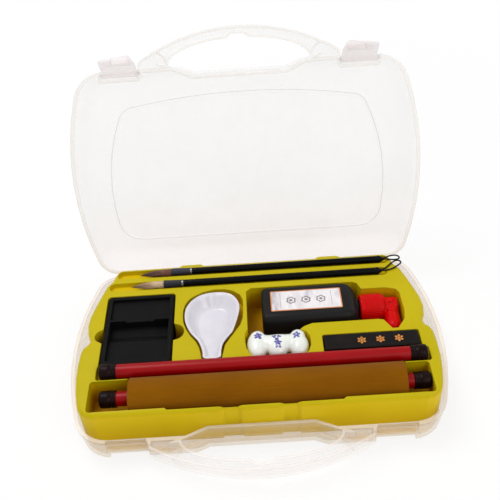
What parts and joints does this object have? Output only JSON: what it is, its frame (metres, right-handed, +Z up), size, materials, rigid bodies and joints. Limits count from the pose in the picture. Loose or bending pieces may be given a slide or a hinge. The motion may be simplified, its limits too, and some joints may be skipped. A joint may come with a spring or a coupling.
{
  "type": "calligraphy set box",
  "caption": "Clear hinged plastic carrying case with a yellow formed tray that holds ink brushes, inkstone, dish, ink bottle, brush rest, ink stick and a rolled scroll.",
  "frame": {"origin": "centre of the base's plan, on its flat underside", "axes": "+X to the right along the hinge, +Y from the handle to the hinge, +Z up"},
  "size_m": [0.32, 0.3172, 0.2373],
  "materials": {
    "case_plastic": "frosted clear polypropylene",
    "tray_yellow": "satin vacuum-formed sheet",
    "inkstone_black": "matt",
    "porcelain_white": "glossy glaze",
    "porcelain_painted": "glossy glaze, cobalt blue brushwork",
    "bottle_black": "satin",
    "label_silver": "printed, metallic",
    "cap_red": "semi-gloss",
    "ink_stick_black": "satin, gilt ornaments",
    "rod_red": "lacquered",
    "cap_dark": "semi-gloss",
    "cloth_ochre": "fine weave",
    "brush_black": "lacquered",
    "ring_silver": "polished",
    "hair_brown": "soft hair",
    "hair_pale": "soft hair",
    "loop_black": "waxed cord"
  },
  "bodies": {
    "base": {"base_shell": "case_plastic"},
    "lid": {"lid_shell": "case_plastic"},
    "latch_l": {"latch_left": "case_plastic"},
    "latch_r": {"latch_right": "case_plastic"},
    "tray_insert": {"tray": "tray_yellow"},
    "stone": {"inkstone": "inkstone_black"},
    "dish": {"spoon_dish": "porcelain_white"},
    "bottle": {"bottle_body": "bottle_black", "bottle_label": "label_silver"},
    "cap": {"bottle_cap": "cap_red"},
    "rest": {"brush_rest": "porcelain_painted"},
    "stick": {"ink_stick": "ink_stick_black"},
    "scroll": {"scroll_top_rod": "rod_red", "scroll_top_caps": "cap_dark", "scroll_roller": "rod_red", "scroll_roller_caps": "cap_dark", "scroll_cloth": "cloth_ochre", "scroll_tail": "cloth_ochre"},
    "brush_a": {"brush_a_handle": "brush_black", "brush_a_ring": "ring_silver", "brush_a_ferrule": "brush_black", "brush_a_hair": "hair_brown", "brush_a_end": "brush_black", "brush_a_loop": "loop_black"},
    "brush_b": {"brush_b_handle": "brush_black", "brush_b_ring": "ring_silver", "brush_b_ferrule": "brush_black", "brush_b_hair": "hair_pale", "brush_b_end": "brush_black", "brush_b_loop": "loop_black"}
  },
  "joints": [
    {"name": "lid_hinge", "type": "hinge", "parent": "base", "child": "lid", "pos_m": [0, 0.0974, 0.025], "axis": [-1, 0, 0], "range_deg": [-109.2, 0]},
    {"name": "latch_left_pivot", "type": "hinge", "parent": "lid", "child": "latch_l", "pos_m": [-0.106, 0.16457, 0.20269], "axis": [-1, 0, 0], "range_deg": [-38, 92]},
    {"name": "latch_right_pivot", "type": "hinge", "parent": "lid", "child": "latch_r", "pos_m": [0.106, 0.16457, 0.20269], "axis": [-1, 0, 0], "range_deg": [-38, 92]},
    {"name": "tray_lift", "type": "slide", "parent": "base", "child": "tray_insert", "axis": [0, 0, 1], "range_m": [0, 0.08]},
    {"name": "inkstone_lift", "type": "slide", "parent": "tray_insert", "child": "stone", "axis": [0, 0, 1], "range_m": [0, 0.08]},
    {"name": "dish_lift", "type": "slide", "parent": "tray_insert", "child": "dish", "axis": [0, 0, 1], "range_m": [0, 0.08]},
    {"name": "bottle_lift", "type": "slide", "parent": "tray_insert", "child": "bottle", "axis": [0, 0, 1], "range_m": [0, 0.08]},
    {"name": "cap_turn", "type": "hinge", "parent": "bottle", "child": "cap", "pos_m": [0.1, 0.024, 0.034], "axis": [-1, 0, 0], "range_deg": [0, 90]},
    {"name": "rest_lift", "type": "slide", "parent": "tray_insert", "child": "rest", "axis": [0, 0, 1], "range_m": [0, 0.08]},
    {"name": "stick_lift", "type": "slide", "parent": "tray_insert", "child": "stick", "axis": [0, 0, 1], "range_m": [0, 0.08]},
    {"name": "scroll_lift", "type": "slide", "parent": "tray_insert", "child": "scroll", "axis": [0, 0, 1], "range_m": [0, 0.08]},
    {"name": "brush_a_lift", "type": "slide", "parent": "tray_insert", "child": "brush_a", "axis": [0, 0, 1], "range_m": [0, 0.08]},
    {"name": "brush_b_lift", "type": "slide", "parent": "tray_insert", "child": "brush_b", "axis": [0, 0, 1], "range_m": [0, 0.08]}
  ]
}
